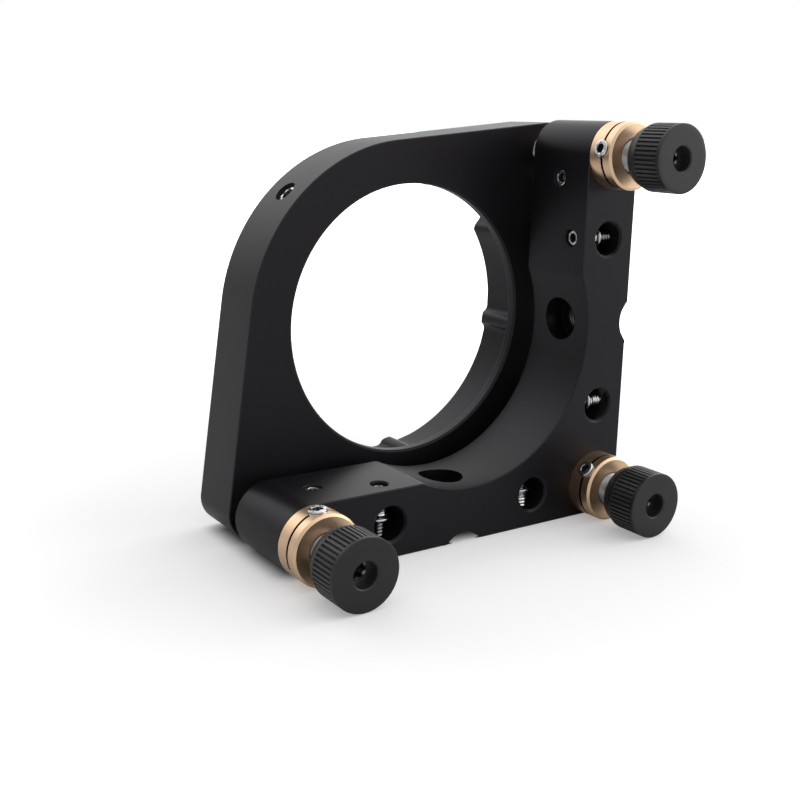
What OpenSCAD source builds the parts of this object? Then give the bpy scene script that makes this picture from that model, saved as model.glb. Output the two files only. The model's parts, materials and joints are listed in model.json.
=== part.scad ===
// Kinematic optic mount. A fixed L-shaped back plate carries three fine adjusters.
// A front plate with the optic bore rests on their ball tips, through a cone,
// a groove and a flat seat, and four extension springs pull the plates together.
// X points right and Y forward as seen from the knobs, and Z points up.
// The origin is on the optical axis, on the face of the lip behind the optic.

/* [Plates] */
// Width and height of the back plate
plate_w = 73; // [72:0.5:75]
// Thickness of the back plate
back_t = 15; // [14:0.5:17]
// Width of the two arms of the back plate
arm_w = 12; // [12:0.5:13]
// Thickness of the front plate
front_t = 11.6; // [11:0.2:13]
// Gap between the plates at mid travel
gap = 3.2; // [2.8:0.1:3.6]

/* [Optic] */
// Diameter of the optic bore
bore_d = 51; // [50.9:0.1:51.2]
// Diameter of the opening in the lip
lip_d = 48.8; // [47:0.2:49.4]
// Thickness of the lip
lip_t = 2; // [1.6:0.2:2.4]

/* [Adjusters] */
// Outer diameter of the adjuster thread
thread_d = 6; // [5.6:0.1:6.2]
// Diameter of the knobs
knob_d = 11.8; // [11:0.1:11.9]
// Number of flutes round a knob
flutes = 48; // [40:2:50]
// Diameter of the ball tips
ball_d = 4.8; // [4.4:0.1:5]

/* [Springs] */
// Outer diameter of the spring coils
coil_d = 4.6; // [4.2:0.1:4.8]
// Diameter of the spring wire
wire_d = 0.7; // [0.5:0.05:0.75]
// Number of coil turns in a spring
turns = 14; // [10:1:16]

/* [Hidden] */
$fn = 96;

// Stations along the optical axis
front_back = -lip_t;
front_face = front_t - lip_t;
back_front = front_back - gap;
back_rear = back_front - back_t;
back_mid = back_rear + back_t / 2;
flange_t = 5.05;
flange_rear = back_rear - flange_t;
knob_front = back_rear - 8.1;
knob_face = back_rear - 16;
ball_y = front_back - 1.6;

// Back plate
half = plate_w / 2;
inner = half - arm_w;
axis_off = half - arm_w / 2;
ARC_R = 25.4;
ARC_OFF = 1.3;
NOTCH_R = 5;
NOTCH_OUT = 3.4;
NOTCH_LIP_R = 2;
POST_BORE_R = 2.15;
POST_HEAD_R = 4;
POST_HEAD_DEPTH = 4.2;

// Front plate
front_half = half - 0.5;
CORNER_R = 5;
HAIR = 0.01;
RING_R = 32.2;
RELIEF_R = bore_d / 2 + 1.4;
RELIEF_END = 62;
RELIEF_RAMP = 14;
RAMP_DEPTH = 1.5;
FINGER_R = 5.05;
FINGER_AT = RELIEF_R + 0.6;
MOUTH_R = 1.5;
PAD_ANGLES = [-7, -83];
PAD_R = 1.6;
PAD_FOOT_R = 1.5;
SINK = 0.05;
OPTIC_SCREW_ANGLE = 135;
optic_screw_y = front_back + 5.9;
OPTIC_THREAD_R = 2;
OPTIC_TIP_R = 1.25;

// Adjusters: side of the axis in x and z, and the way the lock screw faces
TR = [1, 1, 169];
BR = [1, -1, 140];
BL = [-1, -1, 96];
screw_r = thread_d / 2;
ball_r = ball_d / 2;
RUN = 0.03;
FIT = 0.02;
SHANK_R = 4.75;
FLUTE_R = 0.3;
FLUTE_OUT = 0.1;
SHOULDER = 2.3;
flange_r = arm_w / 2;
SLIT_W = 0.5;
SLIT_PAST_AXIS = 2;
slit_y = back_rear - 2.85;
lock_y = back_rear - 2.75;
LOCK_R = 1.5;
LOCK_PROUD = 0.5;
LOCK_INNER = 3.35;
SEAT_R = 3.5;
SEAT_T = 3;
SEAT_CLEAR = 0.15;

// Springs and their pins
SPRING_HOLE_R = 3;
SPRING_AT = 15.5;
PIN_R = 1;
PIN_HEAD_R = 1.45;
PIN_HEAD_END = 0.6;
PIN_MOUTH = 0.25;
rear_pin_y = back_rear + 3.8;
front_pin_y = front_back + 4.6;
spring_pocket = 7.6;
SET_SCREW_OFF = 4.4;
HOOK_CLEAR = 0.05;

// ---- placing ----

// A flat outline drawn in x and z, made solid from y0 to y1
module along_y(y0, y1) {
    translate([0, y1, 0]) rotate([90, 0, 0]) linear_extrude(y1 - y0) children();
}

// A turned piece about the Y axis, from [radius, y] points
module turned(profile) {
    rotate([-90, 0, 0]) rotate_extrude() polygon(profile);
}

// A turned piece about the X axis, from [radius, x] points
module turned_x(profile) {
    rotate([0, 90, 0]) rotate_extrude() polygon(profile);
}

module rod_y(r, y0, y1) {
    translate([0, y0, 0]) rotate([-90, 0, 0]) cylinder(r = r, h = y1 - y0);
}

module rod_x(r, x0, x1) {
    translate([x0, 0, 0]) rotate([0, 90, 0]) cylinder(r = r, h = x1 - x0);
}

// Local X turned to an angle from +X towards +Z
module facing(angle) {
    rotate([0, -angle, 0]) children();
}

// The plates mirror about the diagonal through the lower right corner
module both_arms() {
    children();
    mirror([1, 0, 1]) children();
}

module both_arms_flat() {
    children();
    mirror([1, 1]) children();
}

module at_adjuster(a) {
    translate([a[0] * axis_off, 0, a[1] * axis_off]) children();
}

module hex_hole(across, x0, x1) {
    translate([x0, 0, 0]) rotate([0, 90, 0]) cylinder(d = across / cos(30), h = x1 - x0, $fn = 6);
}

// ---- back plate ----

// One edge notch: a shallow arc with rounded lips, centred on z = 0
module edge_notch() {
    reach = NOTCH_R + NOTCH_LIP_R;
    run = NOTCH_OUT + NOTCH_LIP_R;
    lip_z = sqrt(reach * reach - run * run);
    touch = NOTCH_OUT - NOTCH_R * run / reach;
    translate([half + NOTCH_OUT, 0]) circle(NOTCH_R);
    difference() {
        translate([half + touch, -lip_z]) square([1 - touch, 2 * lip_z]);
        for (side = [-1, 1]) translate([half - NOTCH_LIP_R, side * lip_z]) circle(NOTCH_LIP_R);
    }
}

module back_outline() {
    difference() {
        union() {
            both_arms_flat() {
                translate([inner, -axis_off]) square([arm_w, 2 * axis_off]);
                translate([axis_off, axis_off]) circle(arm_w / 2);
            }
            translate([axis_off, -axis_off]) circle(arm_w / 2);
            translate([ARC_OFF, -inner - 1]) square(inner - ARC_OFF + 1);
        }
        translate([ARC_OFF, -ARC_OFF]) circle(ARC_R);
        both_arms_flat() edge_notch();
    }
}

// Counterbored hole for a post screw, from the inner arc out to the notch
module post_hole() {
    arc_x = ARC_OFF + sqrt(ARC_R * ARC_R - ARC_OFF * ARC_OFF);
    translate([0, back_mid, 0]) {
        rod_x(POST_HEAD_R, arc_x - 6, arc_x + POST_HEAD_DEPTH);
        rod_x(POST_BORE_R, arc_x, half + 1);
    }
}

module back_spring_hole() {
    translate([axis_off, 0, 0]) {
        rod_y(SPRING_HOLE_R, back_rear - 1, back_front + 1);
        turned([[0, back_rear - 1], [SPRING_HOLE_R + 1.4, back_rear - 1], [SPRING_HOLE_R - 0.6, back_rear + 1],
            [0, back_rear + 1]]);
    }
}

// Hole for a spring pin, open at x_open and blind past the spring
module pin_hole(y, x_open, x_blind) {
    out = x_open > x_blind ? 1 : -1;
    mouth = PIN_HEAD_R + FIT;
    lo = min(x_open + out, x_blind);
    hi = max(x_open + out, x_blind);
    translate([0, y, 0]) {
        rod_x(PIN_R + FIT, lo, hi);
        rod_x(mouth, out > 0 ? axis_off : lo, out > 0 ? hi : axis_off);
        translate([x_open, 0, 0]) rotate([0, out * 90, 0]) translate([0, 0, -0.5]) {
            cylinder(r1 = mouth + PIN_MOUTH - 0.5, r2 = mouth + PIN_MOUTH + 0.5, h = 1);
        }
    }
}

module back_plate() {
    color("#26262a") difference() {
        along_y(back_rear, back_front) back_outline();
        for (a = [TR, BR, BL]) at_adjuster(a) rod_y(SHANK_R + FIT, back_rear - 1, back_front + 1);
        both_arms() {
            post_hole();
            for (side = [-1, 1]) translate([0, 0, side * SPRING_AT]) back_spring_hole();
            translate([0, 0, SPRING_AT]) pin_hole(rear_pin_y, inner, half - 1);
            translate([0, 0, -SPRING_AT]) pin_hole(rear_pin_y, half, axis_off - 4.5);
            translate([0, back_mid, axis_off - SET_SCREW_OFF]) rod_x(LOCK_R + FIT, inner - 2, axis_off - 2.4);
        }
    }
}

// ---- front plate ----

// Straight tangents join the ring round the bore to the corner circles. Their
// ends stop a hair inside the circles, so that the edges cross cleanly.
module front_outline() {
    c = front_half - CORNER_R;
    turn = acos((RING_R - CORNER_R) / (c * sqrt(2)));
    top = 45 + turn;
    side = 225 - turn;
    ring = RING_R - HAIR;
    corner = CORNER_R - HAIR;
    union() {
        polygon([
            ring * [cos(side), sin(side)],
            [-c, -c] + corner * [cos(side), sin(side)],
            [-c, -front_half],
            [c, -front_half],
            [front_half, -c],
            [front_half, c],
            [c, c] + corner * [cos(top), sin(top)],
            ring * [cos(top), sin(top)]
        ]);
        circle(RING_R);
        for (p = [[c, c], [c, -c], [-c, -c]]) translate(p) circle(CORNER_R);
    }
}

// Rounds the corner at two circles by a third one of radius r, centred at c. The
// corner's ends w1 and w2 are the two circles' centres, and k is a point well inside.
module round_corner(c, r, w1, w2, k) {
    a1 = c + (w1 - c) * (r - SINK) / norm(w1 - c);
    a2 = c + (w2 - c) * (r - SINK) / norm(w2 - c);
    difference() {
        polygon([k, a2, a1]);
        translate(c) circle(r);
    }
}

// Round pocket that lets a finger in beside the optic, along local X
module finger_pocket() {
    wall = RELIEF_R + MOUTH_R - HAIR;
    pocket = FINGER_R + MOUTH_R - HAIR;
    x = (wall * wall - pocket * pocket + FINGER_AT * FINGER_AT) / (2 * FINGER_AT);
    corner = [x, sqrt(wall * wall - x * x)];
    well_in = [RELIEF_R - 2.4, FINGER_R - 2];
    translate([FINGER_AT, 0]) circle(FINGER_R);
    both_sides() round_corner(corner, MOUTH_R, [0, 0], [FINGER_AT, 0], well_in);
}

module both_sides() {
    children();
    mirror([0, 1]) children();
}

// Rounded pad that the optic touches, along local X, with a hollow foot each side
module pad() {
    crest = bore_d / 2 + PAD_R;
    foot = RELIEF_R - PAD_FOOT_R + HAIR;
    apart = PAD_R + PAD_FOOT_R - HAIR;
    x = (foot * foot + crest * crest - apart * apart) / (2 * crest);
    z = sqrt(foot * foot - x * x);
    top = [crest, 0] + [x - crest, z] * (PAD_R - SINK) / apart;
    edge = [x, z] * (RELIEF_R + SINK) / foot;
    translate([crest, 0]) circle(PAD_R);
    difference() {
        polygon([[top[0], -top[1]], [edge[0], -edge[1]], [RELIEF_R + 1, -edge[1]], [RELIEF_R + 1, edge[1]], edge, top]);
        both_sides() translate([x, z]) circle(PAD_FOOT_R);
    }
}

// The optic touches the upper left wall and two pads. Elsewhere the wall steps
// back, and a finger pocket opens near each end of that stretch.
module bore_outline() {
    end = RELIEF_R * [cos(RELIEF_END), sin(RELIEF_END)];
    wall = RELIEF_END + RELIEF_RAMP;
    start = (bore_d / 2 - RAMP_DEPTH) * [cos(wall), sin(wall)];
    slope = (end[1] - start[1]) / (end[0] - start[0]);
    far = 2 * half;
    beyond = end[1] + slope * (far - end[0]);
    circle(bore_d / 2);
    difference() {
        intersection() {
            circle(RELIEF_R);
            polygon([[0, 0], [-start[1], -start[0]], [-beyond, -far], [far, -far], [far, beyond], start]);
        }
        for (angle = PAD_ANGLES) rotate(angle) pad();
    }
    for (angle = [45, 225]) rotate(angle) finger_pocket();
}

module front_spring_pocket() {
    translate([axis_off, 0, 0]) rod_y(SPRING_HOLE_R, front_back - 1, front_back + spring_pocket);
    pin_hole(front_pin_y, front_half, axis_off - 4.5);
}

module front_plate() {
    bevel = 0.5;
    break_edge = 0.25;
    color("#202024") difference() {
        along_y(front_back, front_face) front_outline();
        along_y(0, front_face + 1) bore_outline();
        rod_y(lip_d / 2, front_back - 1, 1);
        turned([[0, front_back - 1], [lip_d / 2 + break_edge + 1, front_back - 1],
            [lip_d / 2, front_back + break_edge], [0, front_back + break_edge]]);
        turned([[0, front_face - bevel], [bore_d / 2, front_face - bevel], [bore_d / 2 + bevel + 1, front_face + 1],
            [0, front_face + 1]]);
        for (a = [TR, BR, BL]) at_adjuster(a) rod_y(SEAT_R + FIT, front_back - 1, front_back + SEAT_T);
        both_arms() for (side = [-1, 1]) translate([0, 0, side * SPRING_AT]) front_spring_pocket();
        translate([0, optic_screw_y, 0]) facing(OPTIC_SCREW_ANGLE) {
            rod_x(OPTIC_THREAD_R + RUN, lip_d / 2 - 2, RING_R + 1);
        }
    }
}

// ---- adjusters ----

module bushing(a) {
    bevel = 0.4;
    mouth = 0.35;
    bore_r = screw_r + RUN;
    color("#b98a5e") at_adjuster(a) difference() {
        turned([
            [bore_r + mouth, flange_rear], [flange_r - bevel, flange_rear], [flange_r, flange_rear + bevel],
            [flange_r, back_rear], [SHANK_R, back_rear], [SHANK_R, back_front - bevel],
            [SHANK_R - bevel, back_front], [bore_r, back_front], [bore_r, flange_rear + mouth]
        ]);
        facing(a[2]) {
            translate([-SLIT_PAST_AXIS, slit_y - SLIT_W / 2, -flange_r - 1]) {
                cube([SLIT_PAST_AXIS + flange_r + 1, SLIT_W, 2 * flange_r + 2]);
            }
            translate([0, lock_y, 0]) rod_x(LOCK_R + RUN, LOCK_INNER - 0.1, flange_r + 1);
        }
    }
}

module adjuster_screw(a) {
    tip = ball_y - 0.6;
    rear = knob_face + 2.6;
    bevel = 0.5;
    color("#c9c9cc") at_adjuster(a) difference() {
        turned([
            [0, rear], [screw_r - bevel, rear], [screw_r, rear + bevel],
            [screw_r, tip - bevel], [screw_r - bevel, tip], [0, tip]
        ]);
        translate([0, ball_y, 0]) sphere(ball_r + RUN);
        rotate([0, 0, 90]) hex_hole(2.5, rear - 1, rear + 3);
    }
}

module ball_tip(a) {
    color("#dcdcde") at_adjuster(a) translate([0, ball_y, 0]) sphere(ball_r);
}

module knob_section() {
    difference() {
        circle(knob_d / 2);
        for (i = [0 : flutes - 1]) rotate(i * 360 / flutes) {
            translate([knob_d / 2 + FLUTE_OUT, 0]) circle(FLUTE_R, $fn = 16);
        }
    }
}

module knob(a) {
    r = knob_d / 2;
    bevel = 0.4;
    hole_r = 2.2;
    flute_front = knob_front - SHOULDER;
    flute_rear = knob_face + 0.8;
    color("#23282a") at_adjuster(a) difference() {
        union() {
            turned([
                [0, knob_face], [r - bevel, knob_face], [r, knob_face + bevel],
                [r, flute_rear], [0, flute_rear]
            ]);
            along_y(flute_rear, flute_front) knob_section();
            turned([
                [0, flute_front], [r, flute_front], [r - bevel, flute_front + SHOULDER / 2],
                [r - 2 * bevel, knob_front], [0, knob_front]
            ]);
        }
        rod_y(screw_r + FIT, knob_face + 2.6, knob_front + 1);
        rod_y(hole_r, knob_face - 1, knob_face + 3);
        turned([[0, knob_face - 1], [hole_r + bevel + 1, knob_face - 1], [hole_r, knob_face + bevel], [0, knob_face + bevel]]);
    }
}

// Set screw along local X, its socket at the outer end
module set_screw(r, x0, x1, across, depth, point = 0.3) {
    bevel = 0.25;
    difference() {
        turned_x([
            [0, x0], [r - point, x0], [r, x0 + point], [r, x1 - bevel], [r - bevel, x1], [0, x1]
        ]);
        hex_hole(across, x1 - depth, x1 + 1);
    }
}

module lock_screw(a) {
    color("#d2d2d4") at_adjuster(a) translate([0, lock_y, 0]) facing(a[2]) {
        set_screw(LOCK_R, LOCK_INNER, flange_r + LOCK_PROUD, 1.5, 1.3);
    }
}

// Cone points wedge against the side of the bushing shanks
module bushing_set_screws() {
    touch = SHANK_R / sqrt(2);
    cone_start = axis_off - touch - (LOCK_R - (SET_SCREW_OFF - touch));
    color("#c4c4c6") both_arms() translate([0, back_mid, axis_off - SET_SCREW_OFF]) {
        mirror([1, 0, 0]) set_screw(LOCK_R, -cone_start - 1.2, -inner - 0.3, 1.5, 1.2, 1.2);
    }
}

// ---- seats ----

module seat_blank() {
    rod_y(SEAT_R, front_back, front_back + SEAT_T);
}

// Flat seat: the ball rests on a plane at the bottom of a shallow dish
module flat_seat() {
    color("#b8b8bc") at_adjuster(TR) difference() {
        seat_blank();
        rod_y(ball_r + 0.6, front_back - 1, ball_y + ball_r + SEAT_CLEAR);
    }
}

// The cone and the groove share this 90 degree section
function seat_apex() = ball_y + (ball_r + SEAT_CLEAR) * sqrt(2);

module cone_seat() {
    deep = seat_apex() - front_back + 1;
    color("#b8b8bc") at_adjuster(BR) difference() {
        seat_blank();
        turned([[0, front_back - 1], [deep, front_back - 1], [0, seat_apex()]]);
    }
}

module groove_seat() {
    deep = seat_apex() - front_back + 1;
    color("#b8b8bc") at_adjuster(BL) difference() {
        seat_blank();
        translate([-SEAT_R - 1, 0, 0]) rotate([90, 0, 90]) linear_extrude(2 * SEAT_R + 2) {
            polygon([[front_back - 1, -deep], [seat_apex(), 0], [front_back - 1, deep]]);
        }
    }
}

// ---- springs ----

loop_r = (coil_d - wire_d) / 2;
loop_reach = loop_r - wire_d / 2 - PIN_R - HOOK_CLEAR;
hook_rear = rear_pin_y + loop_reach;
hook_front = front_pin_y - loop_reach;
STEPS = 12;
HOOK_STEPS = 8;
SIDES = 6;
LEAD = 1;
coil_start = hook_rear + LEAD;
coil_end = hook_front - LEAD;

// The wire's centre line along local Y: a hook round each pin, a coil between
function hook_point(y, turn, way) = [0, y - way * loop_r * cos(turn), loop_r * sin(turn)];
function wire_path() = concat(
    [for (i = [0 : HOOK_STEPS]) hook_point(hook_rear, -80 + i * 160 / HOOK_STEPS, 1)],
    [for (i = [0 : turns * STEPS])
        let (t = 90 + i * 360 / STEPS, y = coil_start + (coil_end - coil_start) * i / (turns * STEPS))
        [loop_r * cos(t), y, loop_r * sin(t)]],
    [for (i = [0 : HOOK_STEPS]) hook_point(hook_front, 80 - i * 160 / HOOK_STEPS, -1)]
);

function unit(v) = v / norm(v);
function tangent(path, i) = unit(path[min(i + 1, len(path) - 1)] - path[max(i - 1, 0)]);
function square_to(v, t) = unit(v - (v * t) * t);
function side_vectors(path) = [
    for (i = 0, s = square_to([1, 0, 0], tangent(path, 0)); i < len(path);
        i = i + 1, s = i < len(path) ? square_to(s, tangent(path, i)) : s) s
];

module wire(path, r) {
    side = side_vectors(path);
    n = len(path);
    points = [
        for (i = [0 : n - 1]) let (up = cross(tangent(path, i), side[i]))
            for (j = [0 : SIDES - 1]) path[i] + r * (cos(j * 360 / SIDES) * side[i] + sin(j * 360 / SIDES) * up)
    ];
    skin = [for (i = [0 : n - 2]) for (j = [0 : SIDES - 1])
        let (k = (j + 1) % SIDES, a = i * SIDES, b = a + SIDES) each [[a + j, b + j, b + k], [a + j, b + k, a + k]]];
    rear_end = [for (j = [0 : SIDES - 1]) j];
    front_end = [for (j = [SIDES - 1 : -1 : 0]) (n - 1) * SIDES + j];
    polyhedron(points, concat([rear_end, front_end], skin));
}

module side_spring(z) {
    color("#cfcfd2") translate([axis_off, 0, z]) wire(wire_path(), wire_d / 2);
}

// Dog point screw that holds a spring's hook, its head at x_open
module spring_pin(x_open, x_blind) {
    out = x_open > x_blind ? 1 : -1;
    shoulder = axis_off + out * PIN_HEAD_END;
    root = shoulder + out * 0.3;
    rotate([0, 0, out > 0 ? 0 : 180]) set_screw(PIN_HEAD_R, out * shoulder, out * x_open - 0.3, 1.5, 1.3);
    rod_x(PIN_R, min(x_blind, root), max(x_blind, root));
}

module rear_spring_pins() {
    color("#c9c9cc") both_arms() translate([0, rear_pin_y, 0]) {
        translate([0, 0, SPRING_AT]) spring_pin(inner, half - 1.2);
        translate([0, 0, -SPRING_AT]) spring_pin(half, axis_off - 4.4);
    }
}

module front_spring_pins() {
    color("#c9c9cc") both_arms() for (side = [-1, 1]) {
        translate([0, front_pin_y, side * SPRING_AT]) spring_pin(front_half, axis_off - 4.4);
    }
}

// ---- optic clamp ----

module at_optic_screw() {
    translate([0, optic_screw_y, 0]) facing(OPTIC_SCREW_ANGLE) children();
}

module optic_screw() {
    inner_end = bore_d / 2 + 0.9;
    color("#c9c9cc") at_optic_screw() difference() {
        set_screw(OPTIC_THREAD_R, inner_end, inner_end + 5.2, 2, 2);
        rod_x(OPTIC_TIP_R + RUN, inner_end - 1, inner_end + 1.6);
    }
}

module optic_screw_tip() {
    color("#e8e6de") at_optic_screw() rod_x(OPTIC_TIP_R, bore_d / 2 + 0.2, bore_d / 2 + 2.4);
}

back_plate();
front_plate();
bushing(TR);  // bushing_tr
bushing(BR);  // bushing_br
bushing(BL);  // bushing_bl
adjuster_screw(TR);  // adjuster_screw_tr
adjuster_screw(BR);  // adjuster_screw_br
adjuster_screw(BL);  // adjuster_screw_bl
knob(TR);  // knob_tr
knob(BR);  // knob_br
knob(BL);  // knob_bl
ball_tip(TR);  // ball_tip_tr
ball_tip(BR);  // ball_tip_br
ball_tip(BL);  // ball_tip_bl
lock_screw(TR);  // lock_screw_tr
lock_screw(BR);  // lock_screw_br
lock_screw(BL);  // lock_screw_bl
bushing_set_screws();
flat_seat();
cone_seat();
groove_seat();
side_spring(SPRING_AT);  // spring_side_upper
side_spring(-SPRING_AT);  // spring_side_lower
mirror([1, 0, 1]) side_spring(-SPRING_AT);  // spring_base_right
mirror([1, 0, 1]) side_spring(SPRING_AT);  // spring_base_left
rear_spring_pins();
front_spring_pins();
optic_screw();
optic_screw_tip();
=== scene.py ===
"""Kinematic optic mount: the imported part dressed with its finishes, eased plate edges,
fine adjuster threads, fluted knobs and wound springs."""

import json
import math

import bmesh
import bpy
from mathutils import Matrix, Vector
from mathutils.geometry import delaunay_2d_cdt


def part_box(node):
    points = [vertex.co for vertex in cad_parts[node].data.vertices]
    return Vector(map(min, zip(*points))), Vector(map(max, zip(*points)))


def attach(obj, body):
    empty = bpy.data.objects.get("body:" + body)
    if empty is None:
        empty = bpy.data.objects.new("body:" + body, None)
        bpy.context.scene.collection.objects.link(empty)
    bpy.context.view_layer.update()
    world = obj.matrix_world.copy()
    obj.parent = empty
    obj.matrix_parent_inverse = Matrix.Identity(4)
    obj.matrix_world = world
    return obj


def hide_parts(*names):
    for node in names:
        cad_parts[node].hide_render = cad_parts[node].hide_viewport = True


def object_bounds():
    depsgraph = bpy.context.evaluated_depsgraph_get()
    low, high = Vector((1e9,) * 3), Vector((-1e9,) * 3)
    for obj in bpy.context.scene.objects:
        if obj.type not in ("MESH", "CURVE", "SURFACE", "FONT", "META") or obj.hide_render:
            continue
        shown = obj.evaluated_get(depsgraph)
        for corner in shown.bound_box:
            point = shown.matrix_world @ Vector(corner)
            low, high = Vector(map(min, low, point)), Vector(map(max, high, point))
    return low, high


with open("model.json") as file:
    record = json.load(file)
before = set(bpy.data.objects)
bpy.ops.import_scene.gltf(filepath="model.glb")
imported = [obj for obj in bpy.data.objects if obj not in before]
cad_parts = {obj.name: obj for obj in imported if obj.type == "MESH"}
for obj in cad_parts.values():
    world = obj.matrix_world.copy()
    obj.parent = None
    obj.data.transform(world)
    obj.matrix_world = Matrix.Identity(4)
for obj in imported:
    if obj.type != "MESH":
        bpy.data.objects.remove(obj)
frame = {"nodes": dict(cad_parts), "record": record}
cad_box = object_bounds()
scene = bpy.context.scene
MM = 0.001
RECORD = frame["record"]
JOINTS = {joint["name"]: joint for joint in RECORD["behaviour"]["joints"]}
POST_HOLE = next(mount for mount in RECORD["mounts"] if mount["name"] == "post_hole_base")

# ---- camera ----

# Where the eye is, how it turns, and the length and shift of its lens
EYE = Vector((-0.113472, -0.163851, 0.033800))
PAN, PITCH, ROLL = math.radians(-36.1699), math.radians(-11.3749), math.radians(-2.0583)
LENS_LENGTH, LENS_SHIFT = 49.7232, (-0.0392875, -0.0596375)


def make_camera():
    data = bpy.data.cameras.new("camera")
    data.sensor_width = 36
    data.lens = LENS_LENGTH
    data.shift_x, data.shift_y = LENS_SHIFT
    data.clip_start = 10 * MM
    turn = Matrix.Rotation(PAN, 3, "Z") @ Matrix.Rotation(PITCH, 3, "X") @ Matrix.Rotation(ROLL, 3, "Y")
    right, forward, up = (turn @ Vector(way) for way in ((1, 0, 0), (0, 1, 0), (0, 0, 1)))
    camera = bpy.data.objects.new("camera", data)
    camera.matrix_world = Matrix.Translation(EYE) @ Matrix((right, up, -forward)).transposed().to_4x4()
    scene.collection.objects.link(camera)
    scene.camera = camera


# ---- building node trees ----


class Flow:
    """A value in a node tree. Arithmetic on it adds Math nodes."""

    def __init__(self, tree, socket):
        self.tree, self.socket = tree, socket

    def math(self, operation, *others):
        node = self.tree.nodes.new("ShaderNodeMath")
        node.operation = operation
        for value, socket in zip((self, *others), node.inputs):
            plug(self.tree, value, socket)
        return Flow(self.tree, node.outputs[0])

    def __add__(self, other):
        return self.math("ADD", other)

    def __sub__(self, other):
        return self.math("SUBTRACT", other)

    def __mul__(self, other):
        return self.math("MULTIPLY", other)

    def __truediv__(self, other):
        return self.math("DIVIDE", other)

    def __rsub__(self, other):
        return (self * -1) + other

    def clamp(self):
        return self.math("MAXIMUM", 0).math("MINIMUM", 1)

    def ramp(self, start, end):
        """0 at start and 1 at end, smooth between them."""
        node = self.tree.nodes.new("ShaderNodeMapRange")
        node.interpolation_type = "SMOOTHSTEP"
        for value, name in ((self, "Value"), (start, "From Min"), (end, "From Max")):
            plug(self.tree, value, node.inputs[name])
        return Flow(self.tree, node.outputs[0])


def plug(tree, value, socket):
    if isinstance(value, Flow):
        tree.links.new(value.socket, socket)
    else:
        socket.default_value = value


def add_node(tree, kind, inputs=None, **settings):
    node = tree.nodes.new(kind)
    for key, value in settings.items():
        setattr(node, key, value)
    for key, value in (inputs or {}).items():
        plug(tree, value, node.inputs[key])
    return node


def out(tree, node, key=0):
    return Flow(tree, node.outputs[key])


def make_vector(tree, x, y, z):
    return out(tree, add_node(tree, "ShaderNodeCombineXYZ", {"X": x, "Y": y, "Z": z}))


def texture_point(tree):
    return out(tree, add_node(tree, "ShaderNodeTexCoord"), "Object")


def split_vector(tree, vector):
    node = add_node(tree, "ShaderNodeSeparateXYZ", {0: vector})
    return [out(tree, node, k) for k in range(3)]


def mix_colour(tree, factor, low, high):
    # Sockets 0, 6 and 7 take the factor and two colours, and output 2 gives the mix
    node = add_node(tree, "ShaderNodeMix", data_type="RGBA")
    for value, key in ((factor, 0), (low, 6), (high, 7)):
        plug(tree, value if isinstance(value, Flow) else (*value, 1), node.inputs[key])
    return out(tree, node, 2)


def new_group(name, kind, inputs, outputs):
    """A node group with named sockets: {name: (socket type, default)}."""
    tree = bpy.data.node_groups.new(name, kind)
    for key, (socket_type, default) in inputs.items():
        socket = tree.interface.new_socket(key, in_out="INPUT", socket_type=socket_type)
        if default is not None:
            socket.default_value = default
    for key, socket_type in outputs.items():
        tree.interface.new_socket(key, in_out="OUTPUT", socket_type=socket_type)
    source = tree.nodes.new("NodeGroupInput")
    return tree, {key: Flow(tree, source.outputs[key]) for key in inputs}


def finish_group(tree, results):
    sink = tree.nodes.new("NodeGroupOutput")
    for key, value in results.items():
        plug(tree, value, sink.inputs[key])


FLOAT, COLOUR = "NodeSocketFloat", "NodeSocketColor"


# ---- light and floor ----


def seen_directly(tree):
    """Two switches: 1 on the camera's own rays, and 1 on those that a reflection or glass sends."""
    rays = add_node(tree, "ShaderNodeLightPath")
    seen = [out(tree, rays, key) for key in ("Is Camera Ray", "Is Glossy Ray", "Is Transmission Ray")]
    return seen[0], seen[1].math("MAXIMUM", seen[2])


# Soft panels round the part: the way to each, how tightly it is gathered, and its strength
PANELS = [
    ((0, 0, 1), 2, 0.7),
    ((0, 0, 1), 12, 0.2),
    ((0, -1, 0), 2, 0.65),
    ((1, 0, 0), 2, 2.7),
    ((-0.1, 0.86, 0.5), 8, 1.5),
]
# What a reflection shows of the white backdrop and of the floor's own light
BACKDROP_MIRRORED, FLOOR_MIRRORED = 0.3, 0.05


def make_world():
    world = bpy.data.worlds.new("studio")
    scene.world = world
    world.use_nodes = True
    tree = world.node_tree
    camera_ray, mirrored = seen_directly(tree)
    x, y, z = split_vector(tree, out(tree, add_node(tree, "ShaderNodeTexCoord"), "Generated"))
    strength = camera_ray + mirrored * BACKDROP_MIRRORED
    for way, gathered, power in PANELS:
        towards = (x * way[0] + y * way[1] + z * way[2]).math("MAXIMUM", 0)
        strength = strength + (towards.math("POWER", gathered) * power) * (1.0 - camera_ray)
    plug(tree, strength, tree.nodes["Background"].inputs["Strength"])
    tree.nodes["Background"].inputs["Color"].default_value = (1, 1, 1, 1)


FLOOR_REACH = 30.0
FLOOR_COLOUR = (0.77, 0.765, 0.775, 1)
# The floor's light comes up from this far inside the plates' outline, over this width
UNDER_EDGE, UNDER_FADE = 4 * MM, 5 * MM


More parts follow.
